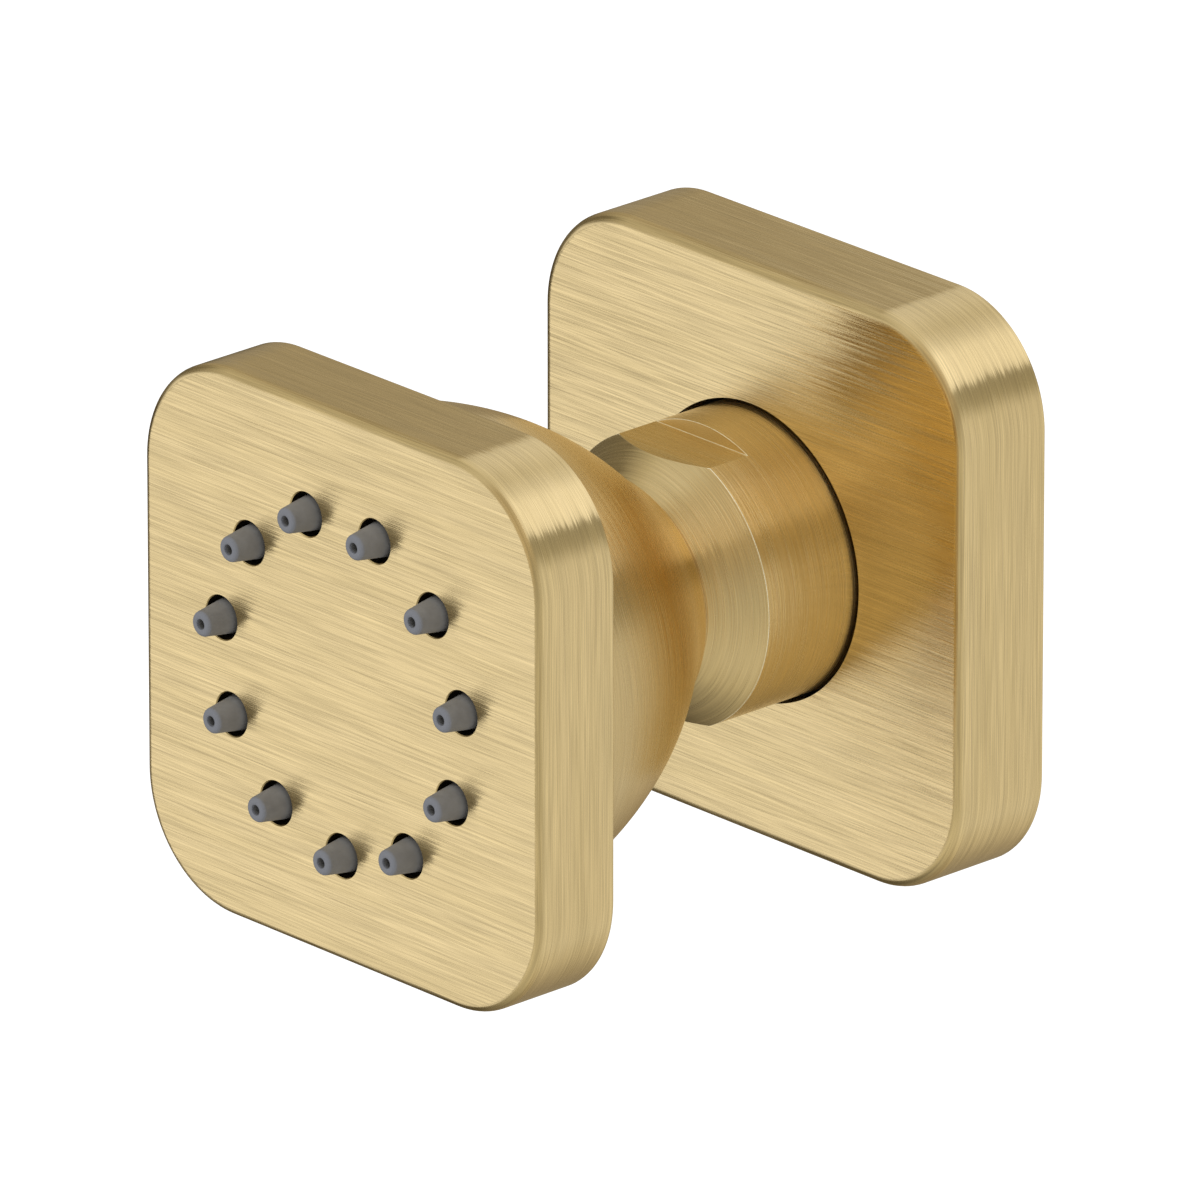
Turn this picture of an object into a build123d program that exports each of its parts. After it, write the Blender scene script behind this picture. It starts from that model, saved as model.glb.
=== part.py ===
"""Shower body jet: a square wall flange, a ball-jointed collar and a square spray head.

The jet axis is the Y axis. The wall plane is y = 0, and the jet faces -Y, out of the wall.
Depths below are distances out from the wall plane, so a depth d is the place y = -d.
"""

import os
from math import hypot, sqrt

from build123d import *

os.makedirs("parts", exist_ok=True)

# Wall flange
flange_size = 60.0
flange_depth = 11.2
flange_corner_r = 12.1
flange_edge_r = 1.2
flange_side_wall = 1.8
flange_front_wall = 2.2
flange_hole_gap = 0.5
flange_boss_wall = 3.2
flange_boss_back = 3.2
grip_groove_cut = 1.4
grip_groove_at = 7.0
grip_groove_width = 2.2
grip_clear = 0.03
gasket_width = 4.0
gasket_thickness = 2.4
gasket_clear = 0.2

# Ball joint, from the ball outwards
ball_depth = 12.0
ball_r = 9.2
ball_flat_back = 7.4
ball_clear = 0.05
seat_wall = 3.0
seat_clear = 0.05
seat_gap = 0.1
ball_ring_wire_r = 1.4
front_seat_reach = 7.6
front_seat_mouth_r = 7.9
rear_seat_reach = 7.3
rear_seat_mouth_r = 6.6
spring_height = 1.25
spring_thickness = 0.5
spring_bore_r = 8.4

# Collar that closes the ball socket
collar_wall = 1.2
collar_back_gap = 0.4
collar_step_reach = 1.8
collar_shoulder = 22.75
collar_lip_r = 10.6
collar_lip_land = 0.3
collar_mouth_step = 0.7
flat_wall = 1.2
flat_length = 5.05
thread_clear = 0.05

# Inlet body with its half-inch pipe thread
socket_wall = 1.45
socket_floor_wall = 1.4
pipe_thread_r = 10.4775
pipe_thread_back = -12.0
pipe_thread_bevel = 1.2
relief_r = 9.3
relief_length = 1.65
waterway_r = 4.8
key_across = 10.4
key_depth = 7.0
inlet_ring_wire_r = 0.8

# Strainer in the inlet
strainer_bore_r = 7.6
strainer_bore_depth = 3.0
strainer_thickness = 0.8
strainer_rim = 1.0
strainer_hole_r = 0.7
strainer_inner_holes = 6
strainer_inner_pitch_r = 2.4
strainer_outer_holes = 12
strainer_outer_pitch_r = 4.8
strainer_clear = 0.05

# Stud that carries the head
stud_shank_r = 5.0
stud_bore_r = 3.3
stud_thread_r = 6.95
stud_thread_inset = 0.7
stud_thread_length = 8.2
stud_groove_inset = 1.6
stud_ring_wire_r = 0.85
stud_ring_clear = 0.02
regulator_bore_r = 5.4
regulator_bore_depth = 5.0
running_clear = 0.05

# Flow regulator
regulator_clear = 0.05
regulator_base = 1.4
regulator_wall = 0.7
regulator_height = 4.6
regulator_core_r = 1.5
regulator_core_height = 3.6
regulator_holes = 6
regulator_hole_r = 0.6
regulator_ring_wire_r = 0.8

# Spray head
face_depth = 65.5
head_size = 57.0
head_thickness = 9.6
head_corner_r = 12.3
head_edge_r = 1.0
head_front_wall = 2.0
neck_overhang = 0.4
neck_land = 0.3
neck_clear = 0.32
bell_margin = 2.3
bell_shoulder = 1.8
bell_wall = 1.55
bell_thread_wall = 2.0
bell_boss_wall = 3.2
bell_boss_beyond = 0.2
chamber_gasket_thickness = 0.8
disc_thickness = 1.5
mat_thickness = 1.5

# Nozzles
nozzle_count = 11
nozzle_ring_r = 17.4
nozzle_hole_r = 2.25
nozzle_gap = 0.29
nozzle_tip_r = 1.27
nozzle_tip_edge = 0.35
nozzle_reach = 2.75
nozzle_bore_root_r = 1.1
nozzle_bore_tip_r = 0.53
disc_hole_r = 1.5

# The bell's outline between its neck and the head, as shares of its length and of its swell:
# a round rim ends at the cove, the cove ends where the dome begins
cove_back_share = (0.071, 0.128)
dome_back_share = (0.173, 0.280)
dome_middle_share = (0.448, 0.658)

# The inside of the dome, as shares of the same length and swell
chamber_back_share = (0.247, 0.408)
chamber_front_share = (0.718, 0.882)

# Radii that follow from the sizes above
ball_seat_r = ball_r + ball_clear
seat_r = ball_seat_r + seat_wall
seat_bore_r = seat_r + seat_clear
socket_thread_r = seat_bore_r + socket_wall
collar_thread_r = socket_thread_r + thread_clear
collar_r = collar_thread_r + collar_wall
flange_hole_r = collar_r + flange_hole_gap
grip_groove_r = flange_hole_r + grip_groove_cut
neck_r = collar_lip_r + neck_overhang
bell_bore_r = stud_thread_r + running_clear
bell_r = head_size / 2 - bell_margin
bell_thread_r = bell_r - bell_shoulder
chamber_r = bell_thread_r - bell_thread_wall
pocket_r = bell_thread_r + thread_clear

# Depths that follow, from the wall outwards
rear_seat_back = ball_depth - rear_seat_reach
rear_seat_front = ball_depth - ball_ring_wire_r - seat_gap
front_seat_back = ball_depth + ball_ring_wire_r + seat_gap
seat_stop = ball_depth + front_seat_reach
socket_floor = rear_seat_back - seat_clear - spring_height
inlet_shoulder = socket_floor - socket_floor_wall
pipe_thread_front = inlet_shoulder - relief_length
collar_step = ball_depth + collar_step_reach
collar_lip = collar_shoulder + collar_r - collar_lip_r
neck_sphere_r = hypot(collar_lip - ball_depth, collar_lip_r) + neck_clear
neck_back = ball_depth + sqrt(neck_sphere_r**2 - (neck_r - neck_land) ** 2)
stud_thread_back = ball_depth + sqrt(neck_sphere_r**2 - bell_bore_r**2) + stud_thread_inset
stud_groove_at = stud_thread_back + stud_groove_inset
stud_front = stud_thread_back + stud_thread_length
regulator_back = stud_front - regulator_bore_depth
bell_bore_front = stud_front + bell_boss_beyond
head_back = face_depth - head_thickness
mat_front = face_depth - head_front_wall
mat_back = mat_front - mat_thickness
disc_back = mat_back - disc_thickness
bell_front = disc_back - chamber_gasket_thickness
nozzle_tip = face_depth + nozzle_reach

# Half sections are drawn as (radius, depth) on this plane and turned about the jet axis.
section = Plane(origin=(0, 0, 0), x_dir=(1, 0, 0), z_dir=(0, 0, -1))


def half_section(*outline):
    """A closed half section with straight sides."""
    with BuildSketch(section) as drawn:
        with BuildLine():
            Polyline(*outline, close=True)
        make_face()
    return drawn.sketch


def wire_section(middle_r, wire_r, depth):
    """The round section of a sealing ring whose wire runs at middle_r."""
    with BuildSketch(section) as drawn:
        with Locations((middle_r, depth)):
            Circle(wire_r)
    return drawn.sketch


def disc(depth, radius):
    """A round face across the jet axis."""
    with BuildSketch(Plane.XZ.offset(depth)) as drawn:
        Circle(radius)
    return drawn.sketch


def rounded_square(depth, size, corner_r):
    """A square face with round corners, across the jet axis."""
    with BuildSketch(Plane.XZ.offset(depth)) as drawn:
        RectangleRounded(size, size, corner_r)
    return drawn.sketch


# Flange: a deep square cover, open at the back, with a boss round the hole for the collar
pan_size = flange_size - 2 * flange_side_wall
pan_corner_r = flange_corner_r - flange_side_wall
pan_depth = flange_depth - flange_front_wall
with BuildPart() as flange:
    extrude(rounded_square(0, flange_size, flange_corner_r), amount=flange_depth)
    fillet(flange.edges().group_by(Axis.Y)[0], radius=flange_edge_r)
    extrude(rounded_square(0, pan_size, pan_corner_r), amount=pan_depth, mode=Mode.SUBTRACT)
    extrude(disc(flange_boss_back, flange_hole_r + flange_boss_wall), amount=pan_depth - flange_boss_back)
    extrude(disc(0, flange_hole_r), amount=flange_depth, mode=Mode.SUBTRACT)
    extrude(
        disc(grip_groove_at - grip_groove_width / 2, grip_groove_r),
        amount=grip_groove_width,
        mode=Mode.SUBTRACT,
    )
flange.part.label = "flange"

# Grip ring: the rubber ring in the boss that holds the flange where it is pushed on the collar
grip_wire_r = (grip_groove_r - collar_r - grip_clear) / 2
with BuildPart() as flange_grip_ring:
    revolve(wire_section(grip_groove_r - grip_wire_r, grip_wire_r, grip_groove_at), axis=Axis.Y)
flange_grip_ring.part.label = "flange_grip_ring"

# Wall gasket: a square foam frame pressed into the open back of the flange
gasket_size = pan_size - 2 * gasket_clear
gasket_corner_r = pan_corner_r - gasket_clear
with BuildPart() as wall_gasket:
    extrude(rounded_square(0, gasket_size, gasket_corner_r), amount=gasket_thickness)
    extrude(
        rounded_square(0, gasket_size - 2 * gasket_width, gasket_corner_r - gasket_width),
        amount=gasket_thickness,
        mode=Mode.SUBTRACT,
    )
wall_gasket.part.label = "wall_gasket"

# Collar: a turned sleeve with a steep front bevel, a mouth for the stud and two wrench flats
with BuildPart() as collar_nut:
    revolve(
        half_section(
            (collar_thread_r, inlet_shoulder + collar_back_gap),
            (collar_r, inlet_shoulder + collar_back_gap),
            (collar_r, collar_shoulder),
            (collar_lip_r, collar_lip),
            (collar_lip_r - collar_lip_land, collar_lip),
            (front_seat_mouth_r + collar_mouth_step, seat_stop),
            (seat_bore_r, seat_stop),
            (seat_bore_r, collar_step),
            (collar_thread_r, collar_step),
        ),
        axis=Axis.Y,
    )
    with BuildSketch(Plane.XZ.offset(collar_shoulder - flat_length)):
        with GridLocations(0, 2 * (seat_bore_r + flat_wall) + collar_r, 1, 2):
            Rectangle(3 * collar_r, collar_r)
    extrude(amount=collar_lip - collar_shoulder + flat_length, mode=Mode.SUBTRACT)
collar_nut.part.label = "collar_nut"

# Inlet body: pipe thread at the wall end, ball socket at the other, a hexagon for the key between
strainer_seat = pipe_thread_back + strainer_bore_depth
socket_front = collar_step - seat_gap
with BuildPart() as inlet_body:
    revolve(
        half_section(
            (waterway_r, strainer_seat),
            (strainer_bore_r, strainer_seat),
            (strainer_bore_r, pipe_thread_back),
            (pipe_thread_r - pipe_thread_bevel, pipe_thread_back),
            (pipe_thread_r, pipe_thread_back + pipe_thread_bevel),
            (pipe_thread_r, pipe_thread_front),
            (relief_r, pipe_thread_front),
            (relief_r, inlet_shoulder),
            (socket_thread_r, inlet_shoulder),
            (socket_thread_r, socket_front),
            (seat_bore_r, socket_front),
            (seat_bore_r, socket_floor),
            (waterway_r, socket_floor),
        ),
        axis=Axis.Y,
    )
    with BuildSketch(Plane.XZ.offset(socket_floor - key_depth)):
        RegularPolygon(key_across / 2, 6, major_radius=False)
    extrude(amount=key_depth, mode=Mode.SUBTRACT)
inlet_body.part.label = "inlet_body"

# Inlet ring: the round ring that seals the shoulder against the wall fitting
with BuildPart() as inlet_ring:
    revolve(
        wire_section(relief_r + inlet_ring_wire_r, inlet_ring_wire_r, inlet_shoulder - inlet_ring_wire_r),
        axis=Axis.Y,
    )
inlet_ring.part.label = "inlet_ring"

# Strainer: a thin perforated cup pushed into the inlet's counterbore
strainer_r = strainer_bore_r - strainer_clear
with BuildPart(Plane.XZ.offset(strainer_seat)) as inlet_strainer:
    revolve(
        half_section(
            (0, strainer_seat - strainer_thickness),
            (strainer_r - strainer_rim, strainer_seat - strainer_thickness),
            (strainer_r - strainer_rim, pipe_thread_back),
            (strainer_r, pipe_thread_back),
            (strainer_r, strainer_seat),
            (0, strainer_seat),
        ),
        axis=Axis.Y,
    )
    Hole(strainer_hole_r)
    with PolarLocations(strainer_inner_pitch_r, strainer_inner_holes):
        Hole(strainer_hole_r)
    with PolarLocations(strainer_outer_pitch_r, strainer_outer_holes):
        Hole(strainer_hole_r)
inlet_strainer.part.label = "inlet_strainer"

# Disc spring: a coned steel washer that presses the seats and the ball towards the collar
with BuildPart() as disc_spring:
    revolve(
        half_section(
            (seat_r, socket_floor),
            (seat_r, socket_floor + spring_thickness),
            (spring_bore_r, socket_floor + spring_height),
            (spring_bore_r, socket_floor + spring_height - spring_thickness),
        ),
        axis=Axis.Y,
    )
disc_spring.part.label = "disc_spring"

# Rear seat: a plastic ring whose hollow side takes the back of the ball
with BuildPart() as rear_seat_ring:
    revolve(
        half_section(
            (rear_seat_mouth_r, rear_seat_back),
            (seat_r, rear_seat_back),
            (seat_r, rear_seat_front),
            (rear_seat_mouth_r, rear_seat_front),
        ),
        axis=Axis.Y,
    )
    with Locations((0, -ball_depth, 0)):
        Sphere(ball_seat_r, mode=Mode.SUBTRACT)
rear_seat_ring.part.label = "rear_seat_ring"

# Front seat: the same on the other side of the ball, stopped by the collar
with BuildPart() as front_seat_ring:
    revolve(
        half_section(
            (front_seat_mouth_r, front_seat_back),
            (seat_r, front_seat_back),
            (seat_r, seat_stop - seat_clear),
            (front_seat_mouth_r, seat_stop - seat_clear),
        ),
        axis=Axis.Y,
    )
    with Locations((0, -ball_depth, 0)):
        Sphere(ball_seat_r, mode=Mode.SUBTRACT)
front_seat_ring.part.label = "front_seat_ring"

# Ball ring: the rubber ring between the seats that seals the ball
with BuildPart() as ball_ring:
    revolve(wire_section(ball_seat_r + ball_ring_wire_r, ball_ring_wire_r, ball_depth), axis=Axis.Y)
ball_ring.part.label = "ball_ring"

# Ball stud: ball, shank and threaded end in one turned piece with the waterway through it
groove_r = bell_bore_r - 2 * stud_ring_wire_r - 2 * stud_ring_clear
groove_half = stud_ring_wire_r + seat_gap
with BuildPart() as ball_stud:
    with Locations((0, -ball_depth, 0)):
        Sphere(ball_r)
    extrude(disc(ball_depth - ball_r, ball_r), amount=ball_r - ball_flat_back, mode=Mode.SUBTRACT)
    revolve(
        half_section(
            (0, ball_depth),
            (stud_shank_r, ball_depth),
            (stud_shank_r, stud_thread_back),
            (stud_thread_r, stud_thread_back),
            (stud_thread_r, stud_groove_at - groove_half),
            (groove_r, stud_groove_at - groove_half),
            (groove_r, stud_groove_at + groove_half),
            (stud_thread_r, stud_groove_at + groove_half),
            (stud_thread_r, stud_front),
            (0, stud_front),
        ),
        axis=Axis.Y,
    )
    extrude(disc(ball_depth - ball_r, stud_bore_r), amount=stud_front, mode=Mode.SUBTRACT)
    extrude(disc(regulator_back, regulator_bore_r), amount=regulator_bore_depth, mode=Mode.SUBTRACT)
ball_stud.part.label = "ball_stud"

# Stud ring: seals the stud in the neck of the bell
with BuildPart() as stud_ring:
    revolve(
        wire_section(bell_bore_r - stud_ring_clear - stud_ring_wire_r, stud_ring_wire_r, stud_groove_at),
        axis=Axis.Y,
    )
stud_ring.part.label = "stud_ring"

# Flow regulator: a cup with a ring of ports round a core, in the front end of the stud
regulator_r = regulator_bore_r - regulator_clear
regulator_inner_r = regulator_r - regulator_wall
with BuildPart(Plane.XZ.offset(regulator_back)) as flow_regulator:
    revolve(
        half_section(
            (0, regulator_back),
            (regulator_r, regulator_back),
            (regulator_r, regulator_back + regulator_height),
            (regulator_inner_r, regulator_back + regulator_height),
            (regulator_inner_r, regulator_back + regulator_base),
            (regulator_core_r, regulator_back + regulator_base),
            (regulator_core_r, regulator_back + regulator_core_height),
            (0, regulator_back + regulator_core_height),
        ),
        axis=Axis.Y,
    )
    with PolarLocations((stud_bore_r + regulator_core_r) / 2, regulator_holes):
        Hole(regulator_hole_r)
flow_regulator.part.label = "flow_regulator"

# Regulator ring: the soft ring round the core that narrows the ports as the pressure rises
with BuildPart() as regulator_ring:
    revolve(
        wire_section(
            regulator_core_r + seat_gap + regulator_ring_wire_r,
            regulator_ring_wire_r,
            regulator_back + regulator_base + regulator_ring_wire_r,
        ),
        axis=Axis.Y,
    )
regulator_ring.part.label = "regulator_ring"


def bell_point(shares):
    """A point (radius, depth) of the bell's outline."""
    along, swell = shares
    return (
        neck_r + swell * (bell_r - neck_r),
        neck_back + along * (head_back - neck_back),
    )


def chamber_point(shares):
    """The point inside the bell's wall that faces the same share of its outline."""
    radius, depth = bell_point(shares)
    return (radius - bell_wall, depth + bell_wall)


# Bell: the domed back of the head, with a dished neck that swings clear of the collar's lip
chamber_back_r, chamber_back = chamber_point(chamber_back_share)
chamber_front = chamber_point(chamber_front_share)[1]
with BuildPart() as rear_bell:
    with BuildSketch(section):
        with BuildLine():
            dome = ThreePointArc((bell_r, head_back), bell_point(dome_middle_share), bell_point(dome_back_share))
            cove = TangentArc(dome @ 1, bell_point(cove_back_share), tangent=dome % 1)
            rim = TangentArc(cove @ 1, (neck_r, neck_back), tangent=cove % 1)
            Polyline(
                rim @ 1,
                (0, neck_back),
                (0, bell_front),
                (bell_thread_r, bell_front),
                (bell_thread_r, head_back),
                dome @ 0,
            )
        make_face()
    revolve(axis=Axis.Y)
    with Locations((0, -ball_depth, 0)):
        Sphere(neck_sphere_r, mode=Mode.SUBTRACT)
    with BuildSketch(section):
        with BuildLine():
            inside = ThreePointArc(
                (chamber_back_r, chamber_back),
                chamber_point(dome_middle_share),
                (chamber_r, chamber_front),
            )
            Polyline(
                inside @ 1,
                (chamber_r, bell_front),
                (0, bell_front),
                (0, bell_bore_front),
                (bell_bore_r + bell_boss_wall, bell_bore_front),
                (bell_bore_r + bell_boss_wall, chamber_back),
                inside @ 0,
            )
        make_face()
    revolve(axis=Axis.Y, mode=Mode.SUBTRACT)
    extrude(disc(neck_back, bell_bore_r), amount=bell_bore_front - neck_back, mode=Mode.SUBTRACT)
rear_bell.part.label = "rear_bell"

# Chamber gasket: a flat rubber ring between the bell's end and the spray disc
with BuildPart() as chamber_gasket:
    extrude(disc(bell_front, bell_thread_r), amount=chamber_gasket_thickness)
    extrude(disc(bell_front, chamber_r), amount=chamber_gasket_thickness, mode=Mode.SUBTRACT)
chamber_gasket.part.label = "chamber_gasket"

# Face plate: a square block with a round pocket behind a thin front, drilled for the nozzles
with BuildPart(Plane.XZ.offset(face_depth)) as face_plate:
    extrude(rounded_square(head_back, head_size, head_corner_r), amount=head_thickness)
    fillet(face_plate.edges().group_by(Axis.Y)[0], radius=head_edge_r)
    extrude(disc(head_back, pocket_r), amount=mat_front - head_back, mode=Mode.SUBTRACT)
    with PolarLocations(nozzle_ring_r, nozzle_count, start_angle=-90):
        Hole(nozzle_hole_r)
face_plate.part.label = "face_plate"

# Spray disc: the stiff plate behind the nozzles, with a hole for each
with BuildPart(Plane.XZ.offset(mat_back)) as spray_disc:
    extrude(disc(disc_back, bell_thread_r), amount=disc_thickness)
    with PolarLocations(nozzle_ring_r, nozzle_count, start_angle=-90):
        Hole(disc_hole_r)
spray_disc.part.label = "spray_disc"

# Nozzle mat: one silicone moulding, a sheet with a tapered, drilled nozzle for each hole
from_plane = (Align.CENTER, Align.CENTER, Align.MIN)
with BuildPart(Plane.XZ.offset(mat_back)) as nozzle_mat:
    extrude(disc(mat_back, bell_thread_r), amount=mat_thickness)
    with Locations((0, 0, mat_thickness)):
        with PolarLocations(nozzle_ring_r, nozzle_count, start_angle=-90):
            Cone(nozzle_hole_r - nozzle_gap, nozzle_tip_r, nozzle_tip - mat_front, align=from_plane)
    fillet(nozzle_mat.edges().group_by(Axis.Y)[0], radius=nozzle_tip_edge)
    with PolarLocations(nozzle_ring_r, nozzle_count, start_angle=-90):
        Cone(
            nozzle_bore_root_r,
            nozzle_bore_tip_r,
            nozzle_tip - mat_back,
            align=from_plane,
            mode=Mode.SUBTRACT,
        )
nozzle_mat.part.label = "nozzle_mat"

pieces = [
    flange,
    flange_grip_ring,
    wall_gasket,
    collar_nut,
    inlet_body,
    inlet_ring,
    inlet_strainer,
    disc_spring,
    rear_seat_ring,
    ball_ring,
    front_seat_ring,
    ball_stud,
    stud_ring,
    flow_regulator,
    regulator_ring,
    rear_bell,
    chamber_gasket,
    face_plate,
    spray_disc,
    nozzle_mat,
]
for piece in pieces:
    export_step(piece.part, f"parts/{piece.part.label}.step")
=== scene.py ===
"""Shower body jet in brushed brass, dressed for its pictures.

The jet axis is Y. The wall plane is y = 0 and the jet faces -Y. Sizes below are in millimetres,
and a depth is a distance out from the wall plane, as on the drawing.
"""

import math

import bmesh
import bpy
from mathutils import Matrix, Vector


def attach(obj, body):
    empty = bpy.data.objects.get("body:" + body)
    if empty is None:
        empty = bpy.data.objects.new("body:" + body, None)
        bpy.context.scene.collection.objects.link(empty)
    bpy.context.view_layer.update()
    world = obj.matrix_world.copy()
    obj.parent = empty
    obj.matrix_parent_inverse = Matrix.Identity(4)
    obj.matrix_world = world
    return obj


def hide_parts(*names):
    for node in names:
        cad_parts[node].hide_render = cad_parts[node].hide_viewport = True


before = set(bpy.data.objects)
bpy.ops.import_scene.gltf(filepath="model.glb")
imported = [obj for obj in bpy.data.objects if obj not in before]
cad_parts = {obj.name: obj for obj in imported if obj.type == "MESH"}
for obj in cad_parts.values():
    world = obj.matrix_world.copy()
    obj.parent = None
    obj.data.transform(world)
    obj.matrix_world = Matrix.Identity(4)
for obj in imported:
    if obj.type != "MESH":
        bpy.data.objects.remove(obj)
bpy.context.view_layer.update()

# Wall flange
# A deep square cover of brass that hides the hole in the wall, with a boss round the collar's
# hole. Its front is brushed straight across and its sides are brushed round, and it is lacquered.
MM = 0.001
NEAR = 1e-6
VERY_NEAR = 1e-7
TURN_STEPS = 144
CORNER_STEPS = 28
EDGE_STEPS = 8
BACK_STEPS = 3
SHARP_ANGLE = 32.0
ROUND_PROFILE = 0.5
FACE_WEIGHT = 100
FLAT_NORMAL = 0.99
BACK_EDGE = 0.2
FLANGE_SIZE = 60.0
FLANGE_DEPTH = 11.2
FLANGE_CORNER = 12.1
FLANGE_EDGE = 1.2
FLANGE_WALL = 1.8
PAN_DEPTH = 9.0
BOSS_R = 18.7
BOSS_BACK = 3.2
FLANGE_HOLE_R = 15.5
GROOVE_R = 16.9
GROOVE_BACK = 5.9
GROOVE_FRONT = 8.1
# Each grain: how fine it is across its lines and along them, per metre, and its detail.
BROAD_GRAIN = (500.0, 16.0, 3.0)
LINE_GRAIN = (5200.0, 90.0, 1.0)
HAIR_GRAIN = (10500.0, 120.0, 1.0)
# Each shade: the limits of the noise, and how far the tone goes darker and lighter there.
LINE_SHADES = (0.32, 0.68, -0.04, 0.035)
HAIR_SHADES = (0.30, 0.70, -0.15, 0.12)
# The limits between which most of a noise's values lie.
MID_NOISE = (0.35, 0.65)
WIDE_NOISE = (0.3, 0.7)
NOISE_ROUGHNESS = 0.55
LINE_ROUGHNESS = 0.05
LINE_LEAN = 0.03
HAIR_RELIEF = 0.00002
QUARTER_TURN = 0.25
BRASS_TONES = ((0.77, 0.607, 0.327), (0.745, 0.585, 0.308))


def edges_at_depth(bm, depth):
    """The edges that lie in the plane across the jet axis at this depth."""
    return [e for e in bm.edges if all(abs(v.co.y + depth * MM) < NEAR for v in e.verts)]


def faces_at_depth(bm, depth):
    """The faces that lie in the plane across the jet axis at this depth."""
    return [f for f in bm.faces if all(abs(v.co.y + depth * MM) < NEAR for v in f.verts)]


def ring_edges(bm, radius, depth):
    """The edges of the circle with this radius round the jet axis."""
    return [
        e for e in edges_at_depth(bm, depth)
        if all(abs(math.hypot(v.co.x, v.co.z) - radius * MM) < 2 * NEAR for v in e.verts)
    ]


def only_verts(geom):
    """The vertices among the parts of a mesh."""
    return [part for part in geom if isinstance(part, bmesh.types.BMVert)]


def rounded(bm, edges, reach, steps, clamp=False):
    """Rounds edges over by a reach, and gives back the new faces."""
    return bmesh.ops.bevel(
        bm, geom=edges, offset=reach * MM, offset_type="OFFSET", affect="EDGES",
        segments=steps, profile=ROUND_PROFILE, material=-1, clamp_overlap=clamp,
    )["faces"]


def square_block(bm, size, back, front, corner, edge):
    """A square block with round corners and a round front edge, between two depths."""
    place = Matrix.Translation((0, -(back + front) / 2 * MM, 0))
    scale = Matrix.Diagonal((size * MM, (front - back) * MM, size * MM, 1))
    bmesh.ops.create_cube(bm, size=1, matrix=place @ scale)
    long_edges = [e for e in bm.edges if abs(e.verts[0].co.y - e.verts[1].co.y) > NEAR]
    rounded(bm, long_edges, corner, CORNER_STEPS)
    rounded(bm, edges_at_depth(bm, front), edge, EDGE_STEPS)
    rounded(bm, edges_at_depth(bm, back), BACK_EDGE, BACK_STEPS)


def drawn(bm, outline, closed=False):
    """Draws an outline of (radius, depth) points as edges, and gives them back."""
    points = [bm.verts.new((radius * MM, -depth * MM, 0)) for radius, depth in outline]
    pairs = list(zip(points, points[1:]))
    if closed:
        pairs.append((points[-1], points[0]))
    return [bm.edges.new(pair) for pair in pairs]


def turned(bm, edges, steps=TURN_STEPS):
    """Turns drawn edges once round the jet axis."""
    points = dict.fromkeys(v for e in edges for v in e.verts)
    bmesh.ops.spin(
        bm, geom=list(points) + edges, cent=(0, 0, 0), axis=(0, 1, 0),
        angle=math.tau, steps=steps, use_merge=True,
    )


def filled_flat(bm, outlines, way):
    """Fills the flat between closed outlines of edges, facing the front (-1) or the wall (1)."""
    bmesh.ops.triangle_fill(bm, use_beauty=True, edges=outlines, normal=(0, way, 0))


def opened(bm, back, front):
    """Takes the flats at two depths away, to be filled again round holes."""
    flats = faces_at_depth(bm, back) + faces_at_depth(bm, front)
    bmesh.ops.delete(bm, geom=flats, context="FACES_ONLY")


def flats_and_sides(bm):
    """Gives flats across the jet axis the first material, and all other faces the second."""
    for face in bm.faces:
        face.normal_update()
        face.material_index = 0 if abs(face.normal.y) > FLAT_NORMAL else 1


def placed(bm, name):
    """Puts a mesh into the scene as an object."""
    mesh = bpy.data.meshes.new(name)
    bm.to_mesh(mesh)
    bm.free()
    piece = bpy.data.objects.new(name, mesh)
    bpy.context.scene.collection.objects.link(piece)
    return piece


def finished(bm, name, body, stands_for, materials, sharp=SHARP_ANGLE):
    """Makes the piece's object with clean normals and crisp edges, and fixes it to its body."""
    bmesh.ops.remove_doubles(bm, verts=bm.verts[:], dist=VERY_NEAR)
    bmesh.ops.recalc_face_normals(bm, faces=bm.faces[:])
    for face in bm.faces:
        face.smooth = True
    for edge in bm.edges:
        edge.smooth = len(edge.link_faces) == 2 and edge.calc_face_angle(0) < math.radians(sharp)
    piece = placed(bm, name)
    for material in materials:
        piece.data.materials.append(material)
    weighted = piece.modifiers.new("weighted", "WEIGHTED_NORMAL")
    weighted.weight = FACE_WEIGHT
    weighted.keep_sharp = True
    settled = piece.evaluated_get(bpy.context.evaluated_depsgraph_get())
    piece.data = bpy.data.meshes.new_from_object(settled)
    piece.data.name = name
    piece.modifiers.clear()
    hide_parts(*stands_for)
    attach(piece, body)


def nodes_of(name):
    """A new material, with its nodes and its shader."""
    material = bpy.data.materials.new(name)
    material.use_nodes = True
    tree = material.node_tree
    return material, tree, tree.nodes["Principled BSDF"]


def computed(tree, kind, operation, *values):
    """A Math or VectorMath node on sockets or plain values, and its result."""
    node = tree.nodes.new("ShaderNode" + kind)
    node.operation = operation
    for socket, value in zip(node.inputs, values):
        if isinstance(value, bpy.types.NodeSocket):
            tree.links.new(value, socket)
        else:
            socket.default_value = value
    return node.outputs[0]


def place_on(tree):
    """The place on the piece, as a vector."""
    return tree.nodes.new("ShaderNodeTexCoord").outputs["Object"]


def parts_of(tree, vector):
    """The X, Y and Z of a vector, by name."""
    split = tree.nodes.new("ShaderNodeSeparateXYZ")
    tree.links.new(vector, split.inputs[0])
    return split.outputs


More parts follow.
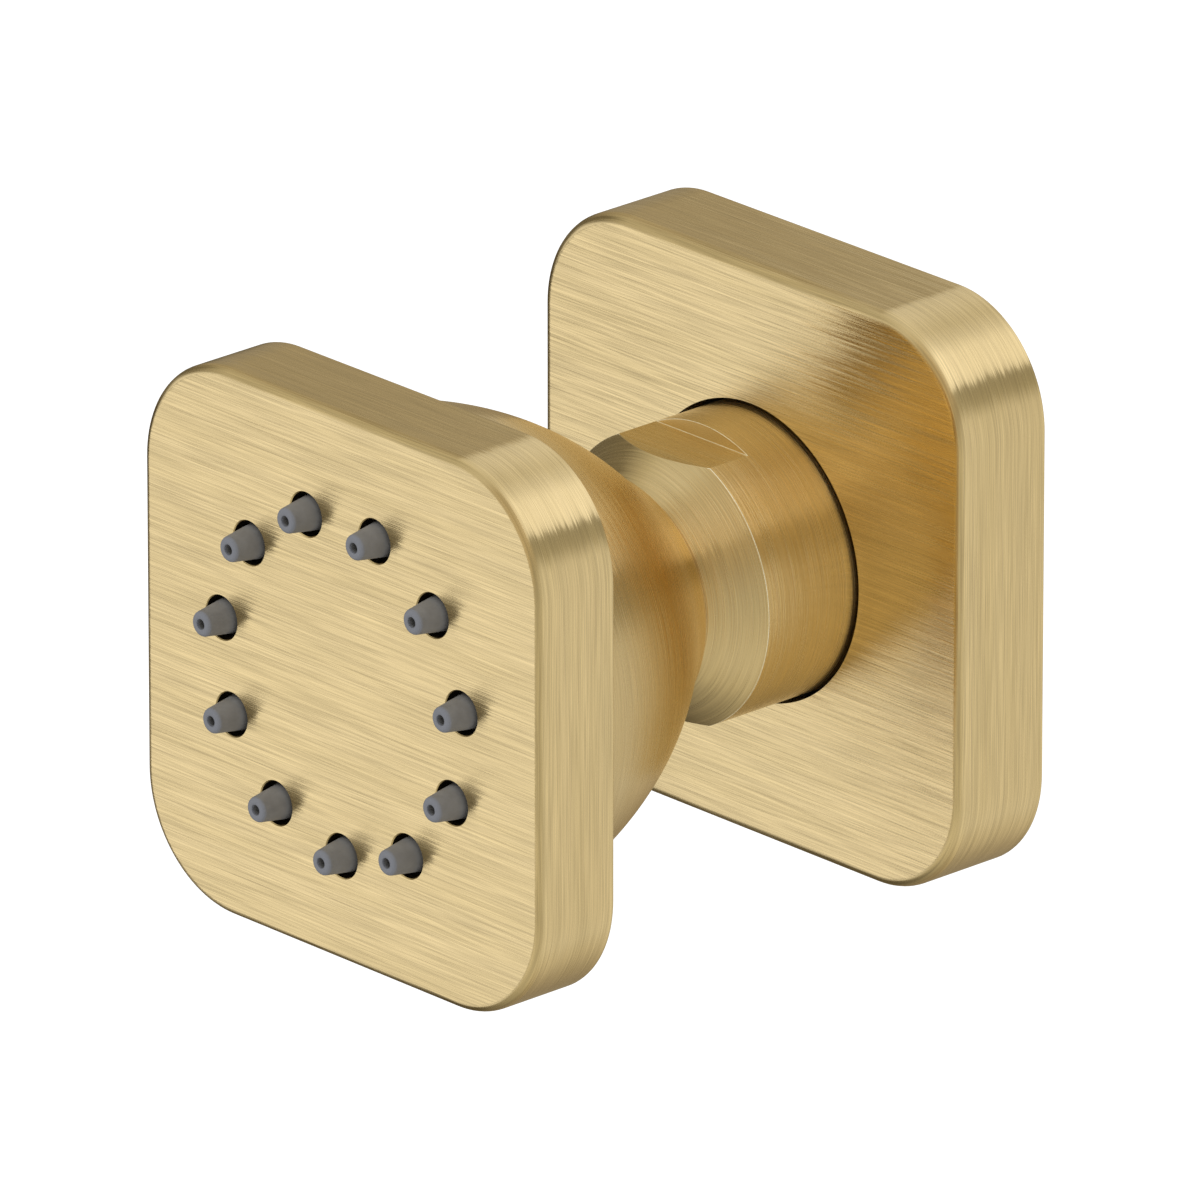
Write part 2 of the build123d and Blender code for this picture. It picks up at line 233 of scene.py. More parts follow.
def noise_along(tree, scale, detail):
    """Noise on Object coordinates, stretched by a scale for each axis."""
    mapping = tree.nodes.new("ShaderNodeMapping")
    mapping.inputs["Scale"].default_value = scale
    noise = tree.nodes.new("ShaderNodeTexNoise")
    noise.inputs["Scale"].default_value = 1.0
    noise.inputs["Detail"].default_value = detail
    noise.inputs["Roughness"].default_value = NOISE_ROUGHNESS
    tree.links.new(place_on(tree), mapping.inputs["Vector"])
    tree.links.new(mapping.outputs["Vector"], noise.inputs["Vector"])
    return noise.outputs["Fac"]


def ranged(tree, value, low, high, to_low=0.0, to_high=1.0):
    """Spreads a value between two limits over two others."""
    node = tree.nodes.new("ShaderNodeMapRange")
    node.inputs["From Min"].default_value = low
    node.inputs["From Max"].default_value = high
    node.inputs["To Min"].default_value = to_low
    node.inputs["To Max"].default_value = to_high
    tree.links.new(value, node.inputs["Value"])
    return node.outputs["Result"]


def mixed(tree, factor, first, second, blend="MIX"):
    """Mixes two colours or sockets by a factor."""
    node = tree.nodes.new("ShaderNodeMix")
    node.data_type = "RGBA"
    node.blend_type = blend
    for socket, value in ((node.inputs[0], factor), (node.inputs[6], first), (node.inputs[7], second)):
        if isinstance(value, bpy.types.NodeSocket):
            tree.links.new(value, socket)
        elif isinstance(value, tuple):
            socket.default_value = (*value, 1.0)
        else:
            socket.default_value = value
    return node.outputs[2]


def relief_of(tree, height, strength, distance):
    """The normal of a surface whose fine relief follows a height."""
    bump = tree.nodes.new("ShaderNodeBump")
    bump.inputs["Strength"].default_value = strength
    bump.inputs["Distance"].default_value = distance
    tree.links.new(height, bump.inputs["Height"])
    return bump.outputs["Normal"]


def brushed_brass(
    name, along, axis, roughness, spread, tones=BRASS_TONES, cut=1.0, metallic=1.0, amber=None
):
    """Brushed and lacquered brass. along has a 1 for each axis that the grain's lines are packed
    along, and axis is the one that the grain turns round. spread is how far the grain draws
    reflections out, and cut is how strongly its lines show. amber has a depth where a painted
    tint begins, the depth where it is full, and the tint: a painted reflection of nearby brass."""
    material, tree, shader = nodes_of(name)
    broad, lines, hairs = (
        noise_along(tree, tuple(across if packed else length for packed in along), detail)
        for across, length, detail in (BROAD_GRAIN, LINE_GRAIN, HAIR_GRAIN)
    )
    tone = mixed(tree, ranged(tree, broad, *MID_NOISE), *tones)
    for streaks, (low, high, darker, lighter) in ((lines, LINE_SHADES), (hairs, HAIR_SHADES)):
        shade = ranged(tree, streaks, low, high, 1.0 + darker * cut, 1.0 + lighter * cut)
        tone = mixed(tree, 1.0, tone, shade, "MULTIPLY")
    # Painted reflection: the colour turns towards the tint by depth, for brass mirrored in brass.
    if amber:
        clear_depth, full_depth, tint = amber
        y = parts_of(tree, place_on(tree))["Y"]
        tone = mixed(tree, ranged(tree, y, -clear_depth * MM, -full_depth * MM), tone, tint, "MULTIPLY")
    tree.links.new(tone, shader.inputs["Base Color"])
    shader.inputs["Metallic"].default_value = metallic
    dullness = ranged(tree, lines, *WIDE_NOISE, roughness + LINE_ROUGHNESS, roughness - LINE_ROUGHNESS)
    tree.links.new(dullness, shader.inputs["Roughness"])
    shader.inputs["Anisotropic"].default_value = spread
    shader.inputs["Anisotropic Rotation"].default_value = QUARTER_TURN
    tangent = tree.nodes.new("ShaderNodeTangent")
    tangent.direction_type = "RADIAL"
    tangent.axis = axis
    grain_way = tangent.outputs["Tangent"]
    tree.links.new(grain_way, shader.inputs["Tangent"])
    surface = relief_of(tree, hairs, 1.0, HAIR_RELIEF)
    lean = ranged(tree, lines, *WIDE_NOISE, -LINE_LEAN, LINE_LEAN)
    leaning = computed(tree, "VectorMath", "MULTIPLY_ADD", grain_way, lean, surface)
    tree.links.new(computed(tree, "VectorMath", "NORMALIZE", leaning), shader.inputs["Normal"])
    return material


straight_brass = brushed_brass("brass_brushed_straight", (0, 1, 1), "Z", roughness=0.24, spread=0.93)
round_brass = brushed_brass("brass_brushed_round", (0, 1, 0), "Y", roughness=0.23, spread=0.88)

bm = bmesh.new()
square_block(bm, FLANGE_SIZE, 0, FLANGE_DEPTH, FLANGE_CORNER, FLANGE_EDGE)
bmesh.ops.inset_region(
    bm, faces=faces_at_depth(bm, 0), thickness=FLANGE_WALL * MM, use_even_offset=True
)
pan_face = max(faces_at_depth(bm, 0), key=lambda face: len(face.verts))
pan = bmesh.ops.extrude_face_region(bm, geom=[pan_face])["geom"]
bmesh.ops.delete(bm, geom=[pan_face], context="FACES_ONLY")
bmesh.ops.translate(bm, verts=only_verts(pan), vec=(0, -PAN_DEPTH * MM, 0))
pan_outline = edges_at_depth(bm, PAN_DEPTH)
front_outline = edges_at_depth(bm, FLANGE_DEPTH)
opened(bm, PAN_DEPTH, FLANGE_DEPTH)
turned(bm, drawn(bm, [
    (BOSS_R, PAN_DEPTH), (BOSS_R, BOSS_BACK), (FLANGE_HOLE_R, BOSS_BACK),
    (FLANGE_HOLE_R, GROOVE_BACK), (GROOVE_R, GROOVE_BACK), (GROOVE_R, GROOVE_FRONT),
    (FLANGE_HOLE_R, GROOVE_FRONT), (FLANGE_HOLE_R, FLANGE_DEPTH),
]))
filled_flat(bm, front_outline + ring_edges(bm, FLANGE_HOLE_R, FLANGE_DEPTH), -1)
filled_flat(bm, pan_outline + ring_edges(bm, BOSS_R, PAN_DEPTH), 1)
flats_and_sides(bm)
finished(bm, "wall_flange", "wall_cover", ["flange"], [straight_brass, round_brass])

# Collar
# A sleeve turned from brass bar. Its steep front bevel leads to the mouth that the ball's stud
# comes out of, and two flats are milled on it for the wrench that tightens the ball. The edges
# of bevel and flats are worn, and painted paler as a painted highlight. Its cylinder is painted
# warmer, as a painted reflection of the flange.
COLLAR_R = 15.0
COLLAR_BACK = 2.4
COLLAR_FRONT = 27.15
BEVEL_DEPTH = 22.75
MOUTH_RIM_R = 10.6
MOUTH_R = 10.3
BALL_MOUTH_R = 8.6
SOCKET_R = 12.3
SOCKET_FRONT = 19.6
THREAD_R = 13.8
THREAD_FRONT = 13.8
FLAT_HALF = 13.5
FLAT_STEP = 17.7
COLLAR_EDGE = 0.23
KEEN_ANGLE = 24.0
KEEN_FROM = 17.0
OUTSIDE_MOUTH_R = 10.5
OUTSIDE_SOCKET_R = 12.8
AHEAD_OF_SOCKET = 20.0
WORN_STEPS = 2
WORN_AND_HIGHLIGHT_REACH = 0.3
WORN_AND_HIGHLIGHT_R = 14.8
# Pale tones for the edges by the step and round the bevel: wear, and a painted highlight that stands in for
# their bright reflection.
WORN_AND_HIGHLIGHT_TONES = ((0.98, 0.87, 0.60), (0.90, 0.77, 0.48))
# Painted reflection: behind the bevel the collar's cylinder is painted warmer, standing in for the brass
# flange mirrored in it.
COLLAR_PAINTED_REFLECTION = (23.0, 22.6, (1.09, 1.05, 0.97))


def reach_of(point):
    """A point's distance from the jet axis."""
    return math.hypot(point.x, point.z)


def cut_flat(bm, side):
    """Mills one wrench flat: the wall in front of the step and beyond the flat comes away, and the
    flat and its crescent step are closed."""
    ahead = [f for f in bm.faces if f.calc_center_median().y < -FLAT_STEP * MM]
    near = dict.fromkeys([e for f in ahead for e in f.edges] + [v for f in ahead for v in f.verts])
    height = side * FLAT_HALF * MM
    bmesh.ops.bisect_plane(
        bm, geom=ahead + list(near), dist=VERY_NEAR, plane_co=(0, 0, height), plane_no=(0, 0, 1)
    )
    beyond = [
        f for f in bm.faces
        if f.calc_center_median().y < -FLAT_STEP * MM
        and side * f.calc_center_median().z > FLAT_HALF * MM
    ]
    bmesh.ops.delete(bm, geom=beyond, context="FACES")
    rim = [e for e in bm.edges if e.is_boundary]
    level = [e for e in rim if all(abs(v.co.z - height) < VERY_NEAR for v in e.verts)]
    step = [e for e in rim if e not in level]
    ends = {v for e in level for v in e.verts} & {v for e in step for v in e.verts}
    chord = bm.edges.new(tuple(ends))
    bmesh.ops.contextual_create(bm, geom=level + [chord])
    bmesh.ops.contextual_create(bm, geom=step + [chord])


def keen(edge):
    """Whether an edge is sharp to the hand: ahead of the step's depth, and not in the socket."""
    if len(edge.link_faces) != 2 or edge.calc_face_angle(0) <= math.radians(KEEN_ANGLE):
        return False
    ends = [(reach_of(v.co) / MM, -v.co.y / MM) for v in edge.verts]
    return all(
        depth > KEEN_FROM and reach > OUTSIDE_MOUTH_R
        and (reach > OUTSIDE_SOCKET_R or depth > AHEAD_OF_SOCKET)
        for reach, depth in ends
    )


bm = bmesh.new()
turned(bm, drawn(bm, [
    (THREAD_R, COLLAR_BACK), (COLLAR_R, COLLAR_BACK), (COLLAR_R, BEVEL_DEPTH),
    (MOUTH_RIM_R, COLLAR_FRONT), (MOUTH_R, COLLAR_FRONT), (BALL_MOUTH_R, SOCKET_FRONT),
    (SOCKET_R, SOCKET_FRONT), (SOCKET_R, THREAD_FRONT), (THREAD_R, THREAD_FRONT),
], closed=True))
bmesh.ops.bisect_plane(
    bm, geom=bm.verts[:] + bm.edges[:] + bm.faces[:], dist=VERY_NEAR,
    plane_co=(0, -FLAT_STEP * MM, 0), plane_no=(0, 1, 0),
)
cut_flat(bm, 1)
cut_flat(bm, -1)
bmesh.ops.recalc_face_normals(bm, faces=bm.faces[:])
# Edges by the flats' step and round the bevel get the pale finish: worn edges, and a painted highlight along
# them.
for face in rounded(bm, [e for e in bm.edges if keen(e)], COLLAR_EDGE, WORN_STEPS, clamp=True):
    middle = face.calc_center_median()
    on_step = abs(middle.y + FLAT_STEP * MM) < WORN_AND_HIGHLIGHT_REACH * MM
    on_bevel = abs(middle.y + BEVEL_DEPTH * MM) < WORN_AND_HIGHLIGHT_REACH * MM and reach_of(middle) > WORN_AND_HIGHLIGHT_R * MM
    face.material_index = 1 if on_step or on_bevel else 0
collar_brass = brushed_brass(
    "brass_turned_collar", (0, 1, 0), "Y", roughness=0.24, spread=0.85, cut=0.6, amber=COLLAR_PAINTED_REFLECTION
)
# Worn edge brass, painted paler and partly dull so that it shows as a painted highlight.
worn_and_highlight_edge_brass = brushed_brass(
    "brass_worn_edge_painted_highlight", (1, 1, 1), "Y", roughness=0.2, spread=0.3, tones=WORN_AND_HIGHLIGHT_TONES, cut=1.5,
    metallic=0.4,
)
finished(
    bm, "collar_sleeve", "mounting", ["collar_nut"], [collar_brass, worn_and_highlight_edge_brass], KEEN_ANGLE
)

# Inlet
# The fixed body behind the flange, turned from brass bar. Its half-inch pipe thread goes into the
# wall fitting. The hexagon for the key that screws it in is drawn as a round bore of its width,
# because strainer and ball hide it.
PIPE_R = 10.4775
PIPE_ROOT = 9.3155
PIPE_PITCH = 1.8143
PIPE_BACK = -12.0
PIPE_FRONT = 0.35
PIPE_BEVEL = 1.2
THREAD_STEPS = 72
NECK_R = 9.3
SHOULDER_R = 13.75
SHOULDER_BACK = 2.0
CUP_R = 12.3
CUP_FRONT = 13.7
CUP_BACK = 3.35
KEY_R = 5.2
KEY_BACK = -3.65
WATERWAY_R = 4.8
WATERWAY_BACK = -9.0
STRAINER_SEAT_R = 7.6
BARE_TONES = ((0.72, 0.55, 0.28), (0.66, 0.49, 0.23))


def linked(verts):
    """The vertices with the edges and faces that meet at them."""
    edges = dict.fromkeys(e for v in verts for e in v.link_edges)
    faces = dict.fromkeys(f for v in verts for f in v.link_faces)
    return verts + list(edges) + list(faces)


def thread_verts(bm):
    """The vertices of the thread, which come after those of the plain body."""
    return [v for v in bm.verts if v not in body_verts]


bm = bmesh.new()
turned(bm, drawn(bm, [
    (NECK_R, PIPE_FRONT), (NECK_R, SHOULDER_BACK), (SHOULDER_R, SHOULDER_BACK), (SHOULDER_R, CUP_FRONT),
    (CUP_R, CUP_FRONT), (CUP_R, CUP_BACK), (KEY_R, CUP_BACK), (KEY_R, KEY_BACK),
    (WATERWAY_R, KEY_BACK), (WATERWAY_R, WATERWAY_BACK), (STRAINER_SEAT_R, WATERWAY_BACK),
    (STRAINER_SEAT_R, PIPE_BACK), (PIPE_R - PIPE_BEVEL, PIPE_BACK),
]))
body_verts = set(bm.verts)
land = PIPE_PITCH / 8
crest = PIPE_FRONT + PIPE_PITCH / 2
tooth = drawn(bm, [
    (PIPE_ROOT, PIPE_FRONT + PIPE_PITCH), (PIPE_ROOT, PIPE_FRONT + PIPE_PITCH - land),
    (PIPE_R, crest + land / 2), (PIPE_R, crest - land / 2),
    (PIPE_ROOT, PIPE_FRONT + land), (PIPE_ROOT, PIPE_FRONT),
])
turns = math.ceil((PIPE_FRONT - PIPE_BACK) / PIPE_PITCH) + 1
bmesh.ops.spin(
    bm, geom=thread_verts(bm) + tooth, cent=(0, 0, 0), axis=(0, 1, 0),
    dvec=(0, PIPE_PITCH / THREAD_STEPS * MM, 0), angle=math.tau * turns, steps=THREAD_STEPS * turns,
)
bmesh.ops.remove_doubles(bm, verts=thread_verts(bm), dist=NEAR)
for depth, way in ((PIPE_FRONT, -1), (PIPE_BACK, 1)):
    bmesh.ops.bisect_plane(
        bm, geom=linked(thread_verts(bm)), dist=VERY_NEAR,
        plane_co=(0, -depth * MM, 0), plane_no=(0, way, 0), clear_outer=True,
    )
for vert in thread_verts(bm):
    room = (PIPE_R - max(0.0, vert.co.y / MM - (-PIPE_BACK - PIPE_BEVEL))) * MM
    if reach_of(vert.co) > room:
        shrink = room / reach_of(vert.co)
        vert.co.x *= shrink
        vert.co.z *= shrink
raw_brass = brushed_brass(
    "brass_bare_turned", (0, 1, 0), "Y", roughness=0.30, spread=0.9, tones=BARE_TONES
)
finished(bm, "inlet_tail", "mounting", ["inlet_body"], [raw_brass])

# Bell
# The back of the spray head, a dome turned from brass bar and brushed while it spins. Its neck is
# dished at the back, so that it swings past the collar when the head is tilted. Towards the neck
# its colour is painted darker and warmer, a painted reflection of the collar and flange.
BELL_R = 26.2
BELL_BACK = 55.9
BELL_RIM_R = 24.4
BELL_STEPS = 180
# Each arc: its centre (radius, depth), its degrees and its steps.
BELL_ARCS = [
    ((-15.4852, 61.0007), 35.969, 40),
    ((32.9440, 15.9256), -8.800, 10),
    ((6.1303, 34.1110), 19.601, 12),
]
NECK_LIP = (10.7, 27.4702)
DISH_ARC = ((0.0, 12.0), -12.83, 10)
NECK_BORE = [(7.0, 29.46), (7.0, 38.6), (10.2, 38.6)]
# Painted reflection: from the first depth to the second the bell turns darker and more amber, standing in
# for the brass collar and flange mirrored in it.
BELL_PAINTED_REFLECTION = (51.0, 40.0, (0.96, 0.82, 0.48))


def swung(bm, last, centre, degrees, steps):
    """Adds an arc to an outline, by swinging its last point about a centre (radius, depth)."""
    made = bmesh.ops.spin(
        bm, geom=[last], cent=(centre[0] * MM, -centre[1] * MM, 0), axis=(0, 0, 1),
        angle=math.radians(degrees), steps=steps,
    )
    return only_verts(made["geom_last"])[0]


def lined(bm, last, radius, depth):
    """Adds a straight line to an outline, from its last point to a new one."""
    point = bm.verts.new((radius * MM, -depth * MM, 0))
    bm.edges.new((last, point))
    return point


bm = bmesh.new()
start = bm.verts.new((BELL_R * MM, -BELL_BACK * MM, 0))
last = start
for arc in BELL_ARCS:
    last = swung(bm, last, *arc)
last = swung(bm, lined(bm, last, *NECK_LIP), *DISH_ARC)
for corner in NECK_BORE:
    last = lined(bm, last, *corner)
lined(bm, start, BELL_RIM_R, BELL_BACK)
turned(bm, bm.edges[:], BELL_STEPS)
bell_brass = brushed_brass(
    "brass_turned_bell", (0, 1, 0), "Y", roughness=0.25, spread=0.88, cut=0.6, amber=BELL_PAINTED_REFLECTION
)
finished(bm, "bell_dome", "head", ["rear_bell"], [bell_brass])

# Face plate
# A square block of brass, milled hollow behind and drilled for the nozzles. Its front is brushed
# straight across, its sides round, and its front edge is rounded over like the flange's. The walls
# of its nozzle holes are painted near black, as painted shade.
PLATE_SIZE = 57.0
PLATE_BACK = 55.9
PLATE_FRONT = 65.5
PLATE_CORNER = 12.3
PLATE_EDGE = 1.0
POCKET_R = 24.45
POCKET_DEPTH = 63.5
NOZZLES = 11
NOZZLE_RING = 17.4
NOZZLE_STEPS = 48
HOLE_R = 2.25
HOLE_EDGE = 0.1
HOLE_EDGE_MID = 0.03
HOLES_REACH = 21.0
BORE_SHADE_GRAIN = (800, 3000, 800)
# Near-black tones for the walls of the nozzle holes: painted shade deep in the holes.
BORE_SHADE_TONES = ((0.050, 0.036, 0.018), (0.080, 0.060, 0.032))
DRILLED_ROUGHNESS = (0.45, 0.6)


def round_the_ring(bm, verts):
    """Repeats geometry drawn about the jet axis at each nozzle's place, the first at the bottom."""
    geom = linked(verts)
    bmesh.ops.translate(bm, verts=verts, vec=(0, 0, -NOZZLE_RING * MM))
    for number in range(1, NOZZLES):
        copy = bmesh.ops.duplicate(bm, geom=geom)["geom"]
        turn = Matrix.Rotation(math.tau * number / NOZZLES, 3, "Y")
        bmesh.ops.rotate(bm, verts=only_verts(copy), cent=(0, 0, 0), matrix=turn)


bm = bmesh.new()
square_block(bm, PLATE_SIZE, PLATE_BACK, PLATE_FRONT, PLATE_CORNER, PLATE_EDGE)
opened(bm, PLATE_BACK, PLATE_FRONT)
back_outline = edges_at_depth(bm, PLATE_BACK)
block_verts = set(bm.verts)
turned(bm, drawn(bm, [
    (HOLE_R + HOLE_EDGE, PLATE_FRONT), (HOLE_R + HOLE_EDGE_MID, PLATE_FRONT + HOLE_EDGE_MID - HOLE_EDGE),
    (HOLE_R, PLATE_FRONT - HOLE_EDGE), (HOLE_R, POCKET_DEPTH),
]), NOZZLE_STEPS)
round_the_ring(bm, [v for v in bm.verts if v not in block_verts])
filled_flat(bm, edges_at_depth(bm, PLATE_FRONT), -1)
turned(bm, drawn(bm, [(POCKET_R, PLATE_BACK), (POCKET_R, POCKET_DEPTH)]))
filled_flat(bm, edges_at_depth(bm, POCKET_DEPTH), 1)
filled_flat(bm, back_outline + ring_edges(bm, POCKET_R, PLATE_BACK), 1)
flats_and_sides(bm)
# The walls of the nozzle holes get the near-black brass: painted shade.
for face in bm.faces:
    middle = face.calc_center_median()
    in_wall = (HOLE_EDGE - PLATE_FRONT) * MM < middle.y < -POCKET_DEPTH * MM
    if face.material_index and in_wall and reach_of(middle) < HOLES_REACH * MM:
        face.material_index = 2
bore_shade_brass, tree, shader = nodes_of("brass_bore_painted_shade")
dull = noise_along(tree, BORE_SHADE_GRAIN, 3.0)
tree.links.new(mixed(tree, dull, *BORE_SHADE_TONES), shader.inputs["Base Color"])
tree.links.new(ranged(tree, dull, *WIDE_NOISE, *DRILLED_ROUGHNESS), shader.inputs["Roughness"])
shader.inputs["Metallic"].default_value = 1.0
plate_finishes = [straight_brass, round_brass, bore_shade_brass]
finished(bm, "face_block", "head", ["face_plate"], plate_finishes)

# Nozzles
# One moulding of grey silicone behind the face plate, with a soft nozzle through each hole. A
# thumb rubbed over them breaks the scale out of their bores.
MAT_R = 24.4
MAT_BACK = 62.0
MAT_FRONT = 63.5
NOZZLE_ROOT_R = 1.96
NOZZLE_TIP_R = 1.27
NOZZLE_TIP = 68.25
BORE_R_AT_TIP = 0.53
NOZZLE_OUTLINE = [
    (0.72, MAT_FRONT + 1.5), (0.60, NOZZLE_TIP - 0.7),
    (BORE_R_AT_TIP, NOZZLE_TIP - 0.12), (BORE_R_AT_TIP + 0.03, NOZZLE_TIP - 0.04),
    (BORE_R_AT_TIP + 0.10, NOZZLE_TIP), (NOZZLE_TIP_R - 0.34, NOZZLE_TIP),
    (NOZZLE_TIP_R - 0.20, NOZZLE_TIP - 0.03), (NOZZLE_TIP_R - 0.09, NOZZLE_TIP - 0.11),
    (NOZZLE_TIP_R - 0.01, NOZZLE_TIP - 0.22), (NOZZLE_TIP_R + 0.04, NOZZLE_TIP - 0.36),
    (NOZZLE_ROOT_R - 0.06, MAT_FRONT + 0.35), (NOZZLE_ROOT_R + 0.02, MAT_FRONT + 0.1),
    (NOZZLE_ROOT_R + 0.12, MAT_FRONT),
]
TIP_TONE_FROM = 67.8
TIP_TONE_FULL = 68.1
TIP_TONE = (0.195, 0.203, 0.228)
SKIN_TONES = ((0.195, 0.190, 0.181), (0.225, 0.220, 0.210))
SKIN_ROUGHNESS = (0.50, 0.62)
SKIN_SHEEN = 0.4
SKIN_GRAIN = (6000, 6000, 6000)
SKIN_RELIEF = 0.2
DUST_GRAIN = (900, 900, 900)
DUST_DETAIL = 4.0
FINE_RELIEF = 0.00003
bm = bmesh.new()
turned(bm, drawn(bm, NOZZLE_OUTLINE), NOZZLE_STEPS)
round_the_ring(bm, bm.verts[:])
nozzle_roots = edges_at_depth(bm, MAT_FRONT)
turned(bm, drawn(bm, [(MAT_R, MAT_FRONT), (MAT_R, MAT_BACK)]))
filled_flat(bm, nozzle_roots + ring_edges(bm, MAT_R, MAT_FRONT), -1)
silicone, tree, shader = nodes_of("silicone_grey")
y = parts_of(tree, place_on(tree))["Y"]
at_tip = ranged(tree, y, -TIP_TONE_FROM * MM, -TIP_TONE_FULL * MM)
dust = noise_along(tree, DUST_GRAIN, DUST_DETAIL)
skin_tone = mixed(tree, ranged(tree, dust, *MID_NOISE), *SKIN_TONES)
tree.links.new(mixed(tree, at_tip, skin_tone, TIP_TONE), shader.inputs["Base Color"])
tree.links.new(ranged(tree, dust, *WIDE_NOISE, *SKIN_ROUGHNESS), shader.inputs["Roughness"])
shader.inputs["Specular IOR Level"].default_value = SKIN_SHEEN
skin = relief_of(tree, noise_along(tree, SKIN_GRAIN, 2.0), SKIN_RELIEF, FINE_RELIEF)
tree.links.new(skin, shader.inputs["Normal"])
finished(bm, "nozzle_moulding", "head", ["nozzle_mat"], [silicone])

# Small parts
# The rings, seats, spring, strainer and regulator inside the jet. They keep the shapes that they
# were drawn with, and each gets the finish of its own material.
EVEN = (1, 1, 1)
FINISH_SPREAD = 0.06


def plain_finish(name, tones, roughness, relief, scale, grain=EVEN, metallic=0.0):
    """A finish whose tone, roughness and relief vary with one fine noise."""
    material, tree, shader = nodes_of(name)
    noise = noise_along(tree, tuple(scale * stretch for stretch in grain), DUST_DETAIL)
    tree.links.new(mixed(tree, ranged(tree, noise, *MID_NOISE), *tones), shader.inputs["Base Color"])
    dullness = ranged(tree, noise, *WIDE_NOISE, roughness - FINISH_SPREAD, roughness + FINISH_SPREAD)
    tree.links.new(dullness, shader.inputs["Roughness"])
    shader.inputs["Metallic"].default_value = metallic
    tree.links.new(relief_of(tree, noise, relief, FINE_RELIEF), shader.inputs["Normal"])
    return material


rubber = plain_finish(
    "rubber_black", ((0.018, 0.018, 0.018), (0.035, 0.034, 0.033)), roughness=0.55, relief=0.3, scale=4000
)
foam = plain_finish(
    "foam_dark", ((0.035, 0.035, 0.036), (0.09, 0.09, 0.088)), roughness=0.88, relief=0.9, scale=1500
)
acetal = plain_finish(
    "acetal_white", ((0.80, 0.80, 0.77), (0.74, 0.74, 0.71)), roughness=0.42, relief=0.3, scale=90,
    grain=(1, 40, 1),
)
blue = plain_finish(
    "plastic_blue", ((0.09, 0.22, 0.50), (0.12, 0.27, 0.56)), roughness=0.38, relief=0.2, scale=2500
)
grey = plain_finish(
    "plastic_grey", ((0.33, 0.33, 0.34), (0.38, 0.38, 0.39)), roughness=0.5, relief=0.2, scale=2500
)
steel = plain_finish(
    "steel_stamped", ((0.58, 0.58, 0.58), (0.66, 0.66, 0.65)), roughness=0.28, relief=0.3, scale=120,
    grain=(1, 30, 1), metallic=1.0,
)
small_parts = {
    rubber: ["flange_grip_ring", "inlet_ring", "ball_ring", "stud_ring", "regulator_ring", "chamber_gasket"],
    foam: ["wall_gasket"],
    acetal: ["rear_seat_ring", "front_seat_ring"],
    blue: ["flow_regulator"],
    grey: ["spray_disc"],
    steel: ["disc_spring", "inlet_strainer"],
    raw_brass: ["ball_stud"],
}
for material, names in small_parts.items():
    for name in names:
        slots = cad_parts[name].data.materials
        slots.clear()
        slots.append(material)

# Studio
# A pale floor far below, as the jet hangs on a wall, a white surround and one soft lamp. A light
# tent round the jet shows only as reflections in the brass: its greys go round by the angle of
# the surface that mirrors them, with a brighter window ahead and warmer greys behind.
WHITE = (1, 1, 1)
FLOOR_Z = -1.15
FLOOR_SIZE = 4.0
FLOOR_GREY = (0.82, 0.82, 0.82)
FLOOR_ROUGHNESS = 0.9
FLOOR_GLOW = 0.45
SURROUND_LIGHT = 0.85
LAMP_PLACE = (-0.9, -1.3, 1.6)
LAMP_SIZE = 1.0
LAMP_POWER = 9.0
TENT_R = 1.0
TENT_PEAK = 1.5
TOWARDS_CAMERA = (0.6825, -0.6341, 0.3635)
# Each grey: the angle of the surface that mirrors it, in degrees, its level, and how amber it is.
# The first list is for surfaces that run along the jet axis, and the second for those that slope
# to the front.
SIDE_GREYS = [
    (-60, 0.32), (-44, 0.28), (-33, 0.12), (-27, 0.20), (-20, 0.35, 0.8), (-12, 0.39, 0.6),
    (-6, 0.42, 0.6), (0, 0.43, 0.6), (2, 0.49, 0.5), (5, 0.81), (15, 0.85), (26, 0.76),
    (33, 0.88), (40, 1.18), (50, 1.21), (55, 1.10), (57, 0.38), (65, 0.46), (72, 0.79),
    (80, 0.81), (104, 0.80), (114, 0.68, 0.2), (126, 0.46, 0.6), (138, 0.34, 1.0),
    (180, 0.29, 1.0), (230, 0.32), (300, 0.32),
]
SLOPE_GREYS = [
    (-60, 0.12), (-30, 0.17), (-15, 0.19), (0, 0.59), (12, 0.70), (22, 0.72), (32, 0.58, 0.6),
    (50, 0.57, 1.0), (60, 0.57, 0.9), (70, 0.46, 0.5), (80, 0.52), (100, 0.64), (112, 0.67),
    (122, 0.61), (132, 0.42), (145, 0.26), (160, 0.12), (230, 0.10), (300, 0.08),
]
SLOPE_FROM = -0.50
SLOPE_FULL = -0.70
FRONT_GREY = 1.06
# Each edge of the window ahead: its axis, the axis it slants along, the slant, and the place
# where the window begins and where it is full.
FRONT_EDGES = [
    ("X", "Z", 0.0, 0.20, 0.13), ("X", "Z", 0.4, -0.15, -0.06),
    ("Z", "X", 0.6, 0.32, 0.20), ("Z", "X", 0.0, -0.32, -0.20),
]
# Each tint: how far the surface that mirrors it faces the wall, and its colour.
BEHIND_TINTS = [
    (0.03, WHITE), (0.16, (0.73, 0.70, 0.65)), (0.38, (0.86, 0.82, 0.74)), (0.55, (1, 0.94, 0.83)),
]
# The greys below one level turn warm, and those below another brown. Each loses green and blue.
WARM_BELOW = 0.95
WARM_SPAN = 0.35
WARM_LOSS = (0.05, 0.22)
BROWN_BELOW = 0.30
BROWN_LOSS = (0.15, 0.35)
AMBER_LOSS = (0.10, 0.22)


